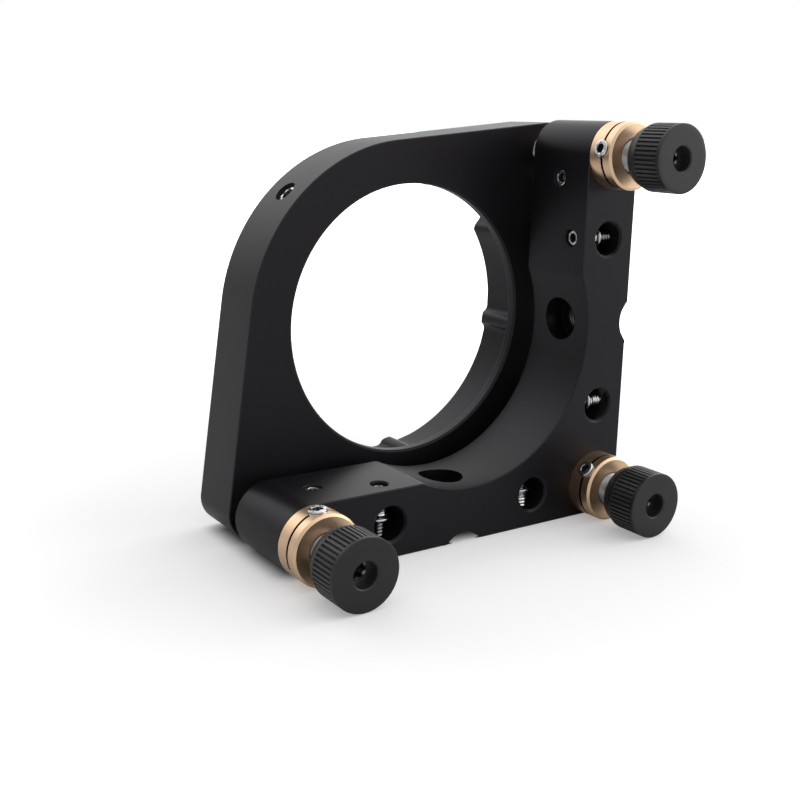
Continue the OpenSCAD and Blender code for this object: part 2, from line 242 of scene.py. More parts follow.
def floor_light(tree):
    """The floor's own light: more of it far from the part, and none under the plates."""
    x, y, _ = split_vector(tree, texture_point(tree))
    distance = (x * x + y * y).math("SQRT")
    white = distance.ramp(50 * MM, 120 * MM) * 0.2 + distance.ramp(90 * MM, 250 * MM) * 0.7 + 0.32
    half_width, rear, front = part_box("back_plate")[1].x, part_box("back_plate")[0].y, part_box("front_plate")[1].y
    middle, half_depth = (rear + front) / 2, (front - rear) / 2
    aside = (x.math("ABSOLUTE") - (half_width - UNDER_EDGE)).math("MAXIMUM", 0)
    ahead = ((y - middle).math("ABSOLUTE") - (half_depth - UNDER_EDGE)).math("MAXIMUM", 0)
    return white * (aside * aside + ahead * ahead).math("SQRT").ramp(0, UNDER_FADE)


def make_floor():
    mesh = bpy.data.meshes.new("floor")
    far = FLOOR_REACH
    corners = [(x, y, cad_box[0].z) for x, y in ((-far, -far), (far, -far), (far, far), (-far, far))]
    mesh.from_pydata(corners, [], [(0, 1, 2, 3)])
    floor = bpy.data.objects.new("floor", mesh)
    scene.collection.objects.link(floor)
    material = bpy.data.materials.new("floor")
    material.use_nodes = True
    tree = material.node_tree
    shader = tree.nodes["Principled BSDF"]
    shader.inputs["Roughness"].default_value = 0.9
    shader.inputs["Specular IOR Level"].default_value = 0.0
    shader.inputs["Emission Color"].default_value = (1, 1, 1, 1)
    shader.inputs["Base Color"].default_value = FLOOR_COLOUR
    camera_ray, mirrored = seen_directly(tree)
    strength = camera_ray * floor_light(tree) + mirrored * FLOOR_MIRRORED
    plug(tree, strength, shader.inputs["Emission Strength"])
    mesh.materials.append(material)


# ---- shared finishes ----

AXIS_OFF = JOINTS["adjuster_tr_turn"]["pos_m"][0]
SLIT_Y, SLIT_HALF, SLIT_REACH = -23.05 * MM, 0.27 * MM, 5.93 * MM
# Near black painted shade: for the walls of the bushings' slits, and for screws in holes and sockets
SLIT_SHADE, SCREW_SHADE = (0.030, 0.007, 0.004), (0.035, 0.035, 0.038)


def noise(tree, point, scale, detail):
    node = add_node(tree, "ShaderNodeTexNoise", {"Vector": point, "Scale": scale, "Detail": detail})
    return out(tree, node)


def grain_group():
    """Fine blasted grain and slow cloudy patches."""
    tree, given = new_group(
        "fine_grain", "ShaderNodeTree",
        {"Grain Size": (FLOAT, 0.2 * MM), "Patch Size": (FLOAT, 12 * MM)},
        {"Grain": FLOAT, "Patches": FLOAT},
    )
    point = texture_point(tree)
    grain = noise(tree, point, given["Grain Size"].math("POWER", -1), 1.0)
    patches = noise(tree, point, given["Patch Size"].math("POWER", -1), 3.0)
    finish_group(tree, {"Grain": grain, "Patches": patches})
    return tree


def turning_group():
    """Lathe marks about each adjuster's axis: rings on faces, lines round the sides."""
    tree, given = new_group(
        "turning_marks", "ShaderNodeTree",
        {"Spacing": (FLOAT, 0.12 * MM), "Centre": (FLOAT, AXIS_OFF)},
        {"Marks": FLOAT, "Bands": FLOAT},
    )
    x, y, z = split_vector(tree, texture_point(tree))
    across = x.math("ABSOLUTE") - given["Centre"]
    up = z.math("ABSOLUTE") - given["Centre"]
    radius = (across * across + up * up).math("SQRT")
    turn = up.math("ARCTAN2", across)
    fine = given["Spacing"].math("POWER", -1)
    lathe = make_vector(tree, radius * fine, y * fine, turn * 0.08)
    marks = noise(tree, lathe, 1.0, 2.0)
    slow = make_vector(tree, radius * fine * 0.16, y * fine * 0.16, turn * 0.3)
    finish_group(tree, {"Marks": marks, "Bands": noise(tree, slow, 1.0, 1.0)})
    return tree


def wear_and_highlight_group():
    """Thin bright wear and a painted highlight on eased edges, broken up by fine noise."""
    tree, given = new_group(
        "edge_wear", "ShaderNodeTree",
        {"Edge": (FLOAT, 0.0), "Amount": (FLOAT, 0.5), "Base": (COLOUR, None), "Worn": (COLOUR, None)},
        {"Color": COLOUR},
    )
    rough = noise(tree, texture_point(tree), 0.9 / MM, 3.0)
    mask = (given["Edge"] * given["Amount"] * (rough * 1.4 + 0.2)).clamp()
    finish_group(tree, {"Color": mix_colour(tree, mask, given["Base"], given["Worn"])})
    return tree


GRAIN, TURNING, WEAR_AND_HIGHLIGHT = grain_group(), turning_group(), wear_and_highlight_group()


def use_group(tree, group, **values):
    node = tree.nodes.new("ShaderNodeGroup")
    node.node_tree = group
    for key, value in values.items():
        plug(tree, value, node.inputs[key.replace("_", " ")])
    return {socket.name: Flow(tree, socket) for socket in node.outputs}


def new_finish(name, metallic, **constants):
    material = bpy.data.materials.new(name)
    material.use_nodes = True
    shader = material.node_tree.nodes["Principled BSDF"]
    shader.inputs["Metallic"].default_value = metallic
    for key, value in constants.items():
        shader.inputs[key.replace("_", " ")].default_value = value
    return material, material.node_tree, shader


def raise_surface(tree, shader, height, distance, strength=1.0):
    bump = add_node(tree, "ShaderNodeBump", {"Height": height, "Distance": distance, "Strength": strength})
    plug(tree, out(tree, bump), shader.inputs["Normal"])


def carried_by_mesh(tree, name):
    return out(tree, add_node(tree, "ShaderNodeAttribute", attribute_name=name), "Fac")


def anodised():
    violet = (1, 0.94, 1.04, 1)
    material, tree, shader = new_finish("black_anodised", 0.0, Specular_IOR_Level=0.2, Specular_Tint=violet)
    fine = use_group(tree, GRAIN, Grain_Size=0.16 * MM, Patch_Size=14 * MM)
    base = mix_colour(tree, fine["Patches"], (0.0042, 0.0038, 0.0048), (0.0082, 0.0076, 0.0088))
    # Eased edges turn a lighter grey: edge wear and a painted highlight
    edge = carried_by_mesh(tree, "edge")
    worn = use_group(tree, WEAR_AND_HIGHLIGHT, Edge=edge, Amount=0.35, Base=base, Worn=(0.05, 0.05, 0.052, 1))
    plug(tree, worn["Color"], shader.inputs["Base Color"])
    plug(tree, fine["Patches"] * 0.08 + fine["Grain"] * 0.1 + 0.29, shader.inputs["Roughness"])
    raise_surface(tree, shader, fine["Grain"], 0.01 * MM, 0.6)
    return material


def knob_finish():
    material, tree, shader = new_finish("knob_black", 0.0, Specular_IOR_Level=0.38)
    fine = use_group(tree, GRAIN, Grain_Size=0.14 * MM, Patch_Size=5 * MM)
    lathe = use_group(tree, TURNING, Spacing=0.16 * MM)
    base = mix_colour(tree, fine["Patches"], (0.0080, 0.0078, 0.0078), (0.0132, 0.0128, 0.0128))
    # Eased edges and ridge tops turn lighter: edge wear and a painted highlight; the hole's wall is painted lighter
    edge = carried_by_mesh(tree, "edge")
    worn = use_group(tree, WEAR_AND_HIGHLIGHT, Edge=edge, Amount=0.5, Base=base, Worn=(0.07, 0.072, 0.072, 1))
    plug(tree, worn["Color"], shader.inputs["Base Color"])
    plug(tree, lathe["Bands"] * 0.1 + fine["Grain"] * 0.12 + 0.32, shader.inputs["Roughness"])
    raise_surface(tree, shader, lathe["Marks"] * 0.6 + fine["Grain"] * 0.4, 0.012 * MM, 0.6)
    return material


def inside_slit(tree):
    """1 on the walls of the bushings' slits, which get painted shade."""
    x, y, z = split_vector(tree, texture_point(tree))
    across, up = x.math("ABSOLUTE") - AXIS_OFF, z.math("ABSOLUTE") - AXIS_OFF
    near_axis = (across * across + up * up).math("LESS_THAN", SLIT_REACH**2)
    return near_axis * (y - SLIT_Y).math("ABSOLUTE").math("LESS_THAN", SLIT_HALF)


def turned_metal(name, dark, light, rough, slit=False):
    material, tree, shader = new_finish(name, 1.0)
    fine = use_group(tree, GRAIN, Grain_Size=0.1 * MM, Patch_Size=3 * MM)
    lathe = use_group(tree, TURNING, Spacing=0.1 * MM)
    # The mesh marks where the metal is darkened towards near black: painted shade in sockets, holes and on threads
    film = carried_by_mesh(tree, "film")
    tone = (fine["Patches"] * 0.6 + lathe["Bands"] * 0.25 + lathe["Marks"] * 0.15).clamp()
    darkened_by_shade = mix_colour(tree, film, mix_colour(tree, tone, dark, light), SCREW_SHADE)
    # The slits' walls are painted near black: painted shade in the narrow cuts
    if slit:
        darkened_by_shade = mix_colour(tree, inside_slit(tree), darkened_by_shade, SLIT_SHADE)
    plug(tree, darkened_by_shade, shader.inputs["Base Color"])
    dullness = lathe["Marks"] * 0.1 + fine["Patches"] * 0.06 + (rough - 0.08) + film * 0.15
    plug(tree, dullness, shader.inputs["Roughness"])
    raise_surface(tree, shader, lathe["Marks"] + fine["Grain"] * 0.4, 0.0015 * MM, 0.8)
    return material


def plain_metal(name, dark, light, rough, grain):
    material, tree, shader = new_finish(name, 1.0)
    fine = use_group(tree, GRAIN, Grain_Size=grain, Patch_Size=2 * MM)
    plug(tree, mix_colour(tree, fine["Patches"], dark, light), shader.inputs["Base Color"])
    plug(tree, fine["Grain"] * 0.12 + fine["Patches"] * 0.08 + (rough - 0.1), shader.inputs["Roughness"])
    raise_surface(tree, shader, fine["Grain"], 0.004 * MM, 0.6)
    return material


def nylon():
    material, tree, shader = new_finish("nylon", 0.0, Subsurface_Weight=0.15, Subsurface_Scale=0.6 * MM)
    fine = use_group(tree, GRAIN, Grain_Size=0.12 * MM, Patch_Size=2 * MM)
    base = mix_colour(tree, fine["Patches"], (0.72, 0.70, 0.62), (0.82, 0.80, 0.73))
    plug(tree, base, shader.inputs["Base Color"])
    plug(tree, fine["Grain"] * 0.12 + 0.36, shader.inputs["Roughness"])
    raise_surface(tree, shader, fine["Grain"], 0.006 * MM, 0.5)
    return material


FINISHES = {
    "black_anodised": anodised(),
    "knob_black": knob_finish(),
    "bronze": turned_metal("bronze", (0.70, 0.47, 0.30), (0.84, 0.62, 0.42), 0.36, slit=True),
    "stainless": turned_metal("stainless", (0.60, 0.60, 0.61), (0.76, 0.76, 0.76), 0.2),
    "hardened_steel": plain_metal("hardened_steel", (0.56, 0.56, 0.58), (0.68, 0.68, 0.7), 0.14, 0.15 * MM),
    "spring_steel": plain_metal("spring_steel", (0.50, 0.50, 0.52), (0.64, 0.64, 0.66), 0.26, 0.08 * MM),
    "nylon": nylon(),
}
SLOT_OF = {row["node"]: row["material_slot"] for row in RECORD["subparts"]}
BODY_OF = {node: body for body, nodes in RECORD["behaviour"]["bodies"].items() for node in nodes}


def paint(piece, slot):
    piece.data.materials.clear()
    piece.data.materials.append(FINISHES[slot])


def settle(piece, node):
    """The piece stands for a CAD node, rides on its body and takes its finish."""
    paint(piece, SLOT_OF[node])
    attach(piece, BODY_OF[node])
    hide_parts(node)


def new_piece(name, mesh):
    piece = bpy.data.objects.new(name, mesh)
    scene.collection.objects.link(piece)
    return piece


def applied(piece):
    """A plain mesh with the piece's modifiers worked in. The modifiers go."""
    mesh = bpy.data.meshes.new_from_object(piece.evaluated_get(bpy.context.evaluated_depsgraph_get()))
    piece.modifiers.clear()
    return mesh


def close_seams(mesh, gap):
    """Merges corners that touch and turns all faces outward."""
    work = bmesh.new()
    work.from_mesh(mesh)
    bmesh.ops.remove_doubles(work, verts=work.verts, dist=gap)
    bmesh.ops.recalc_face_normals(work, faces=work.faces)
    work.to_mesh(mesh)
    work.free()


def shade_smooth(mesh):
    for polygon in mesh.polygons:
        polygon.use_smooth = True


# ---- plates with eased edges ----

EASE, EASE_STEPS = 0.24 * MM, 3
SMALL_EASE, SMALL_RADIUS = 0.4, 4.5 * MM
SAME_PLACE, SAME_FACE, SHARP_EDGE = 0.01 * MM, math.radians(0.6), math.radians(28)
WELD = 0.012 * MM
# A face is square to the axes when a part of its normal is more than this
SQUARE = 0.9999
# Faces shade as one where their normals agree by more than this
EASED_AGREE, PLAIN_AGREE = 0.4, 0.88
# A face this wide, or wider, has its full say in a corner's shading
FULL_WEIGHT_SIDE = 0.5 * MM


def turn_radius(edge, sharp):
    """How tightly a line of sharp edges bends at this edge's ends."""
    radius = math.inf
    for vertex in edge.verts:
        near = [other for other in vertex.link_edges if other in sharp and other is not edge]
        if len(near) == 1:
            way = edge.other_vert(vertex).co - vertex.co
            turn = math.pi - way.angle(near[0].other_vert(vertex).co - vertex.co, 0)
            if turn > math.radians(2):
                radius = min(radius, (edge.calc_length() + near[0].calc_length()) / 2 / turn)
    return radius


def merged_copy(node):
    """The CAD node with whole flat faces and each sharp edge weighted for easing: less round a small hole's
    mouth in a face square to the axes, and none at its other edges."""
    mesh = frame["nodes"][node].data.copy()
    mesh.name = node + "_eased"
    work = bmesh.new()
    work.from_mesh(mesh)
    bmesh.ops.remove_doubles(work, verts=work.verts, dist=SAME_PLACE)
    bmesh.ops.dissolve_limit(work, angle_limit=SAME_FACE, verts=work.verts, edges=work.edges)
    weight = work.edges.layers.float.new("bevel_weight_edge")
    sharp = {edge for edge in work.edges if edge.is_manifold and edge.calc_face_angle(0) > SHARP_EDGE}
    for edge in sharp:
        square = any(max(map(abs, face.normal)) > SQUARE for face in edge.link_faces)
        edge[weight] = 1.0 if turn_radius(edge, sharp) > SMALL_RADIUS else SMALL_EASE * square
    work.to_mesh(mesh)
    work.free()
    return mesh


def refill(work, face):
    """Cuts a many-sided flat face into triangles that keep to its outline."""
    across = (face.verts[1].co - face.verts[0].co).normalized()
    up = face.normal.cross(across)
    start = face.verts[0].co.copy()
    flat = [Vector(((v.co - start).dot(across), (v.co - start).dot(up))) / MM for v in face.verts]
    points, _, triangles, sources, _, _ = delaunay_2d_cdt(flat, [], [list(range(len(flat)))], 1, 1e-5)
    corners = []
    for point, source in zip(points, sources):
        place = start + (across * point.x + up * point.y) * MM
        corners.append(face.verts[source[0]] if source else work.verts.new(place))
    for triangle in triangles:
        ring = [corners[k] for k in triangle]
        if len(set(ring)) == 3 and not work.faces.get(ring):
            work.faces.new(ring)
    return face


def join_touching(work):
    """Splits each open edge where another corner touches it, and welds the two."""
    edges = [edge for edge in work.edges if edge.is_boundary]
    corners = {vertex for edge in edges for vertex in edge.verts}
    welds = {}
    for edge in edges:
        first, last = edge.verts
        start, run = first.co.copy(), last.co - first.co
        shares = []
        for vertex in corners - {first, last}:
            share = (vertex.co - start).dot(run) / run.length_squared
            if 0 < share < 1 and (start + run * share - vertex.co).length < SAME_PLACE:
                shares.append((share, vertex.index, vertex))
        done = 0.0
        for share, _, vertex in sorted(shares):
            _, added = bmesh.utils.edge_split(edge, first, (share - done) / (1 - done))
            added.co = vertex.co
            welds[added] = vertex
            edge = next(link for link in added.link_edges if link.other_vert(added) is not first)
            first, done = added, share
    bmesh.ops.weld_verts(work, targetmap=welds)
    bmesh.ops.remove_doubles(work, verts=work.verts, dist=WELD)
    bmesh.ops.triangulate(work, faces=[face for face in work.faces if len(face.verts) > 4])
    # A face whose every edge has two others besides it closes nothing
    lids = [face for face in work.faces if all(len(edge.link_faces) > 2 for edge in face.edges)]
    bmesh.ops.delete(work, geom=lids, context="FACES_ONLY")


def even_normals(mesh, rounded):
    """Flat and curved faces shade as before, and the eased edges blend between them."""
    touching = [[] for _ in mesh.vertices]
    for polygon in mesh.polygons:
        for vertex in polygon.vertices:
            touching[vertex].append(polygon.index)
    normals = [polygon.normal.copy() for polygon in mesh.polygons]
    sizes = [min(polygon.area, FULL_WEIGHT_SIDE**2) for polygon in mesh.polygons]
    result = []
    for polygon in mesh.polygons:
        own = normals[polygon.index]
        near = EASED_AGREE if rounded[polygon.index] else PLAIN_AGREE
        for vertex in polygon.vertices:
            plain = [k for k in touching[vertex] if not rounded[k] and normals[k].dot(own) > near]
            pool = plain or [k for k in touching[vertex] if normals[k].dot(own) > near]
            total = Vector()
            for k in pool:
                total += normals[k] * sizes[k]
            result.append(total.normalized() if total.length else own)
    mesh.normals_split_custom_set(result)


def eased_plate(node):
    piece = new_piece(node + "_eased", merged_copy(node))
    # The second, empty material slot marks the eased edges until they are shaded
    for _ in range(2):
        piece.data.materials.append(None)
    ease = piece.modifiers.new("ease", "BEVEL")
    ease.width, ease.segments, ease.limit_method = EASE, EASE_STEPS, "WEIGHT"
    ease.use_clamp_overlap = ease.loop_slide = False
    ease.material = 1
    mesh = applied(piece)
    work = bmesh.new()
    work.from_mesh(mesh)
    many = [face for face in work.faces if len(face.verts) > 4 and face.material_index == 0]
    bmesh.ops.delete(work, geom=[refill(work, face) for face in many], context="FACES_ONLY")
    work.verts.index_update()
    join_touching(work)
    work.to_mesh(mesh)
    work.free()
    rounded = [polygon.material_index == 1 for polygon in mesh.polygons]
    # The eased faces are marked for edge wear and a painted highlight
    edge = mesh.attributes.new("edge", "FLOAT", "POINT")
    flat = {v for polygon, eased in zip(mesh.polygons, rounded) if not eased for v in polygon.vertices}
    edge.data.foreach_set("value", [0.0 if k in flat else 1.0 for k in range(len(mesh.vertices))])
    mesh.polygons.foreach_set("material_index", [0] * len(mesh.polygons))
    shade_smooth(mesh)
    even_normals(mesh, rounded)
    piece.data = mesh
    settle(piece, node)


# ---- turned pieces: one profile swept round its axis, with thread, flutes and socket ----


def finish_shape(tree, last, material):
    """Ends a shape's tree with real geometry in its material."""
    real = add_node(tree, "GeometryNodeRealizeInstances", {"Geometry": out(tree, last)})
    painted = add_node(tree, "GeometryNodeSetMaterial", {"Geometry": out(tree, real), "Material": material})
    finish_group(tree, {"Geometry": out(tree, painted)})


def turned_tree():
    """Sweeps a profile of points (radius, place along the axis, 0) round the Y axis. The profile carries
    how far the thread, the flutes and the hexagon act at each point."""
    tree, given = new_group(
        "turned_piece", "GeometryNodeTree",
        {
            "Profile": ("NodeSocketGeometry", None),
            "Rows": ("NodeSocketInt", 10),
            "Segments": ("NodeSocketInt", 48),
            "Pitch": (FLOAT, 0.25 * MM),
            "Thread Depth": (FLOAT, 0.13 * MM),
            "Flutes": (FLOAT, 48.0),
            "Flute Depth": (FLOAT, 0.2 * MM),
            "Flute Width": (FLOAT, 0.36),
            "Material": ("NodeSocketMaterial", None),
        },
        {"Geometry": "NodeSocketGeometry"},
    )
    columns = given["Segments"] + 1
    grid = add_node(tree, "GeometryNodeMeshGrid", {"Vertices X": given["Rows"], "Vertices Y": columns})
    index = out(tree, add_node(tree, "GeometryNodeInputIndex"))
    row = ((index + 0.5) / columns).math("FLOOR")
    column = index - row * columns
    turn = column / given["Segments"] * math.tau

    def profile(kind, value):
        inputs = {"Geometry": given["Profile"], "Index": row}
        node = add_node(tree, "GeometryNodeSampleIndex", inputs, data_type=kind, domain="POINT")
        plug(tree, value, node.inputs["Value"])
        return out(tree, node, "Value")

    def carried(name):
        node = add_node(tree, "GeometryNodeInputNamedAttribute", {"Name": name}, data_type="FLOAT")
        return profile("FLOAT", out(tree, node, "Attribute"))

    position = out(tree, add_node(tree, "GeometryNodeInputPosition"))
    radius, along, _ = split_vector(tree, profile("FLOAT_VECTOR", position))
    phase = (along / given["Pitch"] + turn / math.tau).math("FRACT")
    groove = (phase * 2 - 1).math("ABSOLUTE")
    threaded = given["Thread Depth"] * carried("thread") * groove
    flute = (turn * given["Flutes"] / math.tau).math("FRACT")
    aside = (flute - 0.5).math("ABSOLUTE") / given["Flute Width"]
    amount = carried("flute")
    short = 1.0 - amount
    hollow = (1.0 - aside * aside - short * short).math("MAXIMUM", 0).math("SQRT")
    fluted = given["Flute Depth"] * hollow * amount.math("GREATER_THAN", 0.001)
    sixth = math.tau / 6
    corner = ((turn / sixth).math("FRACT") - 0.5) * sixth
    hexagon = carried("hexagon") * (corner.math("COSINE").math("POWER", -1) - 1.0) + 1.0
    reach = (radius - threaded - fluted) * hexagon
    place = make_vector(tree, reach * turn.math("COSINE"), along, reach * turn.math("SINE"))
    inputs = {"Geometry": out(tree, grid, "Mesh"), "Position": place}
    moved = add_node(tree, "GeometryNodeSetPosition", inputs)
    # The ridge tops between flutes carry the wear and a painted highlight
    edge = amount * hollow.math("LESS_THAN", 0.05) + carried("worn")
    for name, value in (("edge", edge), ("film", carried("film"))):
        inputs = {"Geometry": out(tree, moved), "Name": name, "Value": value}
        moved = add_node(tree, "GeometryNodeStoreNamedAttribute", inputs, data_type="FLOAT", domain="POINT")
    finish_shape(tree, moved, given["Material"])
    return tree


TURNED = turned_tree()


def give(modifier, tree, **values):
    """Sets a modifier's inputs, by the identifier of each named socket."""
    for item in tree.interface.items_tree:
        key = item.name.replace(" ", "_")
        if item.item_type == "SOCKET" and item.in_out == "INPUT" and key in values:
            modifier[item.identifier] = values[key]


SHARES = ("thread", "flute", "hexagon", "worn", "film")


def turned(name, profile, place, node, **sizes):
    """Profile rows are (radius, along, {share: amount}), in millimetres, with the shares named in SHARES."""
    source = bpy.data.meshes.new(name)
    source.from_pydata([(row[0] * MM, row[1] * MM, 0) for row in profile], [], [])
    for key in SHARES:
        layer = source.attributes.new(key, "FLOAT", "POINT")
        layer.data.foreach_set("value", [row[2].get(key, 0.0) for row in profile])
    piece = new_piece(name, source)
    modifier = piece.modifiers.new("turned", "NODES")
    modifier.node_group = TURNED
    give(modifier, TURNED, Rows=len(profile), Material=FINISHES[SLOT_OF[node]], **sizes)
    mesh = applied(piece)
    close_seams(mesh, 0.0005 * MM)
    mesh.transform(place)
    shade_smooth(mesh)
    mesh.set_sharp_from_angle(angle=math.radians(38))
    piece.data = mesh
    return piece


def ends(node):
    """Where a CAD node begins and ends along Y, in millimetres."""
    return [corner.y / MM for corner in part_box(node)]


# A row with no thread, flute, hexagon, wear and highlight, or painted shade
PLAIN = {}

# Radii of the profiles and places along their axis, in millimetres
KNOB_FACE, KNOB_FRONT = ends("knob_tr")
SCREW_REAR, SCREW_TIP = ends("adjuster_screw_tr")
BEHIND_FLANGE, THREAD_FRONT = ends("bushing_tr")[0] + 3.0, -8.7
SCREW_R, SCREW_BEVEL, SCREW_SOCKET_R, SCREW_SOCKET_DEPTH = 3.0, 0.5, 1.25, 2.8
BALL_Y, BALL_R = JOINTS["adjuster_tr_turn"]["pos_m"][1] / MM, 2.4
KNOB_R, KNOB_RIM, KNOB_HOLE_R, KNOB_MOUTH = 5.9, 0.11, 2.15, 0.2
FLUTE_REAR, FLUTE_FRONT, FLUTE_RUN = KNOB_FACE + 0.55, KNOB_FRONT - 2.3, 0.45
SCREW_PITCH, ROWS_PER_PITCH = 0.25, 8


def threaded_rows(radius, start, end, pitch, film=0.0):
    """Rows along a threaded stretch, with the thread running in over one pitch at each end."""
    count = round((end - start) / pitch * ROWS_PER_PITCH)
    rows = []
    for i in range(count + 1):
        along = start + (end - start) * i / count
        run_in = min(1.0, (along - start) / pitch, (end - along) / pitch)
        # The last argument darkens the stretch with painted shade
        rows.append((radius, along, {"thread": max(0.0, run_in), "film": film}))
    return rows


def adjuster_profile():
    """From the bottom of the rear socket over the thread to the tip of the ball."""
    # Most of the screw is darkened with painted shade: the socket, the rear face, the threads and the tip; the ball
    # is not
    hexed, darkened_by_shade = {"hexagon": 1.0, "film": 0.75}, {"film": 0.62}
    rows = [(0, SCREW_REAR + SCREW_SOCKET_DEPTH + 0.2, darkened_by_shade)]
    rows.append((SCREW_SOCKET_R * 0.6, SCREW_REAR + SCREW_SOCKET_DEPTH + 0.2, hexed))
    rows += [(SCREW_SOCKET_R, SCREW_REAR + depth, hexed) for depth in (SCREW_SOCKET_DEPTH, 0.15)]
    rows += [(SCREW_SOCKET_R + 0.2, SCREW_REAR, {"film": 0.8}), (1.9, SCREW_REAR, darkened_by_shade)]
    rows += [(SCREW_R - SCREW_BEVEL, SCREW_REAR, darkened_by_shade), (SCREW_R, SCREW_REAR + SCREW_BEVEL, darkened_by_shade)]
    rows += threaded_rows(SCREW_R, KNOB_FRONT - 0.8, BEHIND_FLANGE, SCREW_PITCH, 0.55)
    rows += threaded_rows(SCREW_R, THREAD_FRONT, SCREW_TIP - SCREW_BEVEL - 0.1, SCREW_PITCH, 0.7)
    rows += [(SCREW_R - 0.05, SCREW_TIP - SCREW_BEVEL, darkened_by_shade), (SCREW_R - SCREW_BEVEL, SCREW_TIP, darkened_by_shade)]
    first, steps = math.asin((BALL_Y - SCREW_TIP) / BALL_R), 6
    rows.append((BALL_R * math.cos(first) + 0.03, SCREW_TIP, PLAIN))
    for i in range(1, steps + 1):
        angle = first + (math.pi / 2 - first) * i / steps
        rows.append((BALL_R * math.cos(angle), BALL_Y - BALL_R * math.sin(angle), PLAIN))
    return rows


def knob_profile():
    """From the wall of the rear hole over the rim, the flutes and the tapered shoulder, and back inside."""
    inside = SCREW_R + 0.02
    # The hole's wall is painted lighter, and its mouth and the face's rim get edge wear and a painted highlight
    worn, painted_lighter = {"worn": 0.6}, {"worn": 0.5}
    rows = [(inside, SCREW_REAR, PLAIN), (KNOB_HOLE_R, SCREW_REAR, painted_lighter)]
    rows.append((KNOB_HOLE_R, KNOB_FACE + KNOB_MOUTH, painted_lighter))
    rows.append((KNOB_HOLE_R + KNOB_MOUTH / 2, KNOB_FACE + KNOB_MOUTH / 2, worn))
    start, stop = KNOB_HOLE_R + KNOB_MOUTH, KNOB_R - KNOB_RIM
    rows += [(start + (stop - start) * i / 5, KNOB_FACE, PLAIN) for i in range(5)]
    for i in range(5):
        angle = math.pi / 2 * i / 4
        along = KNOB_FACE + KNOB_RIM * (1 - math.cos(angle))
        rows.append((stop + KNOB_RIM * math.sin(angle), along, worn if 0 < i < 4 else PLAIN))
    full_rear, full_front = FLUTE_REAR + FLUTE_RUN, FLUTE_FRONT - FLUTE_RUN
    rows += [(KNOB_R, FLUTE_REAR + FLUTE_RUN * i / 6, {"flute": i / 6}) for i in range(7)]
    rows += [(KNOB_R, full_rear + (full_front - full_rear) * i / 6, {"flute": 1.0}) for i in range(1, 6)]
    rows += [(KNOB_R, full_front + FLUTE_RUN * i / 6, {"flute": 1 - i / 6}) for i in range(7)]
    shoulder = [(KNOB_R - 0.03, FLUTE_FRONT + 0.3), (KNOB_R - 0.4, FLUTE_FRONT + 1.15)]
    shoulder += [(KNOB_R - 0.75, KNOB_FRONT - 0.2), (KNOB_R - 0.85, KNOB_FRONT - 0.05)]
    shoulder += [(KNOB_R - 1.0, KNOB_FRONT), (SCREW_R + 0.3, KNOB_FRONT), (inside, KNOB_FRONT - 0.28)]
    shoulder.append((inside, SCREW_REAR))
    return rows + [(radius, along, PLAIN) for radius, along in shoulder]


CORNERS = {"tr": (1, 1), "br": (1, -1), "bl": (-1, -1)}


FLUTES, STEPS_PER_FLUTE = 48, 12


def make_adjusters():
    thread = {"Segments": 32, "Pitch": SCREW_PITCH * MM, "Thread_Depth": 0.12 * MM}
    flutes = {"Segments": FLUTES * STEPS_PER_FLUTE, "Flutes": float(FLUTES)}
    flutes |= {"Flute_Depth": 0.32 * MM, "Flute_Width": 0.24}
    for corner, (side, up) in CORNERS.items():
        place = Matrix.Translation((side * AXIS_OFF, 0, up * AXIS_OFF))
        node = "adjuster_screw_" + corner
        settle(turned("fine_thread_screw_" + corner, adjuster_profile(), place, node, **thread), node)
        node = "knob_" + corner
        settle(turned("fluted_knob_" + corner, knob_profile(), place, node, **flutes), node)


# ---- small socket screws, with threads and hexagon sockets ----

# Radii and pitches in millimetres, places in metres
SMALL_R, SMALL_PITCH, SMALL_SOCKET = 1.5, 0.5, 1.5
PIN_HEAD_R, PIN_DOG_R, PIN_PITCH = 1.45, 1.0, 0.6
OPTIC_R, OPTIC_PITCH, OPTIC_SOCKET = 2.0, 0.7, 2.0
SPRING_AT, PIN_STEP = 15.5 * MM, 0.6 * MM
LOCK_INNER, OPTIC_SCREW_INNER = 3.35 * MM, 26.4 * MM
SET_SCREW_AT, SET_SCREW_POINT = 26.1 * MM, 27.88 * MM
BACK_MID = POST_HOLE["pos_m"][1]
# Mirrors a place on the right arm to the bottom arm
SWAP = Matrix(((0, 0, -1, 0), (0, 1, 0, 0), (-1, 0, 0, 0), (0, 0, 0, 1)))


def socket_end(radius, end, across, depth, film=0.0):
    """A rounded rim and the hexagon socket inside it."""
    # The socket's walls and floor, and the rim where asked, are darkened with painted shade
    rim, hexed, round_r = {"film": film}, {"hexagon": 1.0, "film": 0.75}, 0.2
    rows = []
    for i in range(4):
        angle = math.pi / 2 * i / 3
        along = end - round_r * (1 - math.sin(angle))
        rows.append((radius - round_r * (1 - math.cos(angle)), along, rim))
    inner = across / 2
    rows += [(inner + 0.14, end, rim), (inner + 0.02, end - 0.08, hexed), (inner, end - depth, hexed)]
    rows += [(inner * 0.85, end - depth - 0.05, {"film": 0.9}), (0, end - depth - 0.3, {"film": 0.9})]
    return rows


def grub_profile(radius, length, across, depth, point, pitch, hollow=None):
    """Point end at 0, socket end at length. A hollow (radius, depth) takes a soft tip."""
    rows = [(0, 0, PLAIN)]
    if hollow:
        rows = [(0, hollow[1], PLAIN), (hollow[0], hollow[1], PLAIN), (hollow[0], 0, PLAIN)]
    rows += [(radius - point, 0, PLAIN), (radius, point, PLAIN)]
    rows += threaded_rows(radius, point + 0.02, length - 0.22, pitch)
    return rows + socket_end(radius, length, across, depth)


